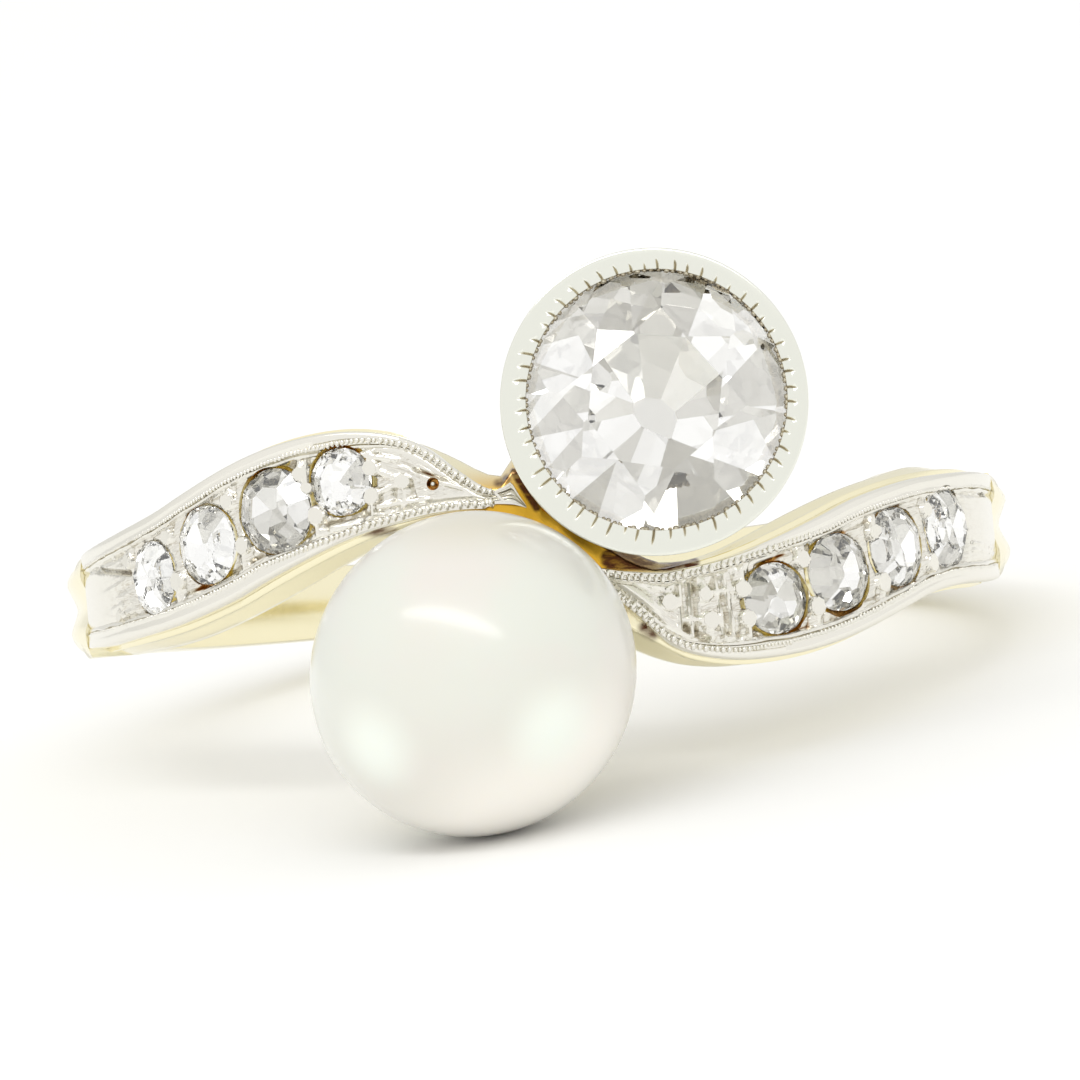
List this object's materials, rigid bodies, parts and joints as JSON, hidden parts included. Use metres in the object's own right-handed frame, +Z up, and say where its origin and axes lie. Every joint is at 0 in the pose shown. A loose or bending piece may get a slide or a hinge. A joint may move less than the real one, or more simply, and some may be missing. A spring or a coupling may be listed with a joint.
{
  "type": "pearl and diamond crossover ring",
  "caption": "Gold and platinum finger ring with diamond-set shoulders that pass each other between a round pearl and a round diamond in a rub-over collet.",
  "frame": {"origin": "middle of the finger hole, on its axis, midway between the edges of the band", "axes": "+Z up as the ring lies on a flat surface, pearl side down; the head faces -Y; +X to the right of the head as it is looked at. The finger hole's axis leans 12.5 degrees from +Z towards +Y and 4.6 degrees sideways towards +X"},
  "size_m": [0.0196, 0.0255, 0.0109],
  "materials": {
    "yellow_gold": "polished",
    "platinum": "polished",
    "diamond": "polished",
    "pearl": "gloss"
  },
  "bodies": {
    "root": {"gold_hoop": "yellow_gold", "shoulder_plate_left": "platinum", "shoulder_plate_right": "platinum", "diamond_collet": "platinum", "centre_diamond": "diamond", "pearl": "pearl", "shoulder_diamond_left_1": "diamond", "shoulder_diamond_left_2": "diamond", "shoulder_diamond_left_3": "diamond", "shoulder_diamond_left_4": "diamond", "shoulder_diamond_right_1": "diamond", "shoulder_diamond_right_2": "diamond", "shoulder_diamond_right_3": "diamond", "shoulder_diamond_right_4": "diamond"}
  },
  "joints": []
}
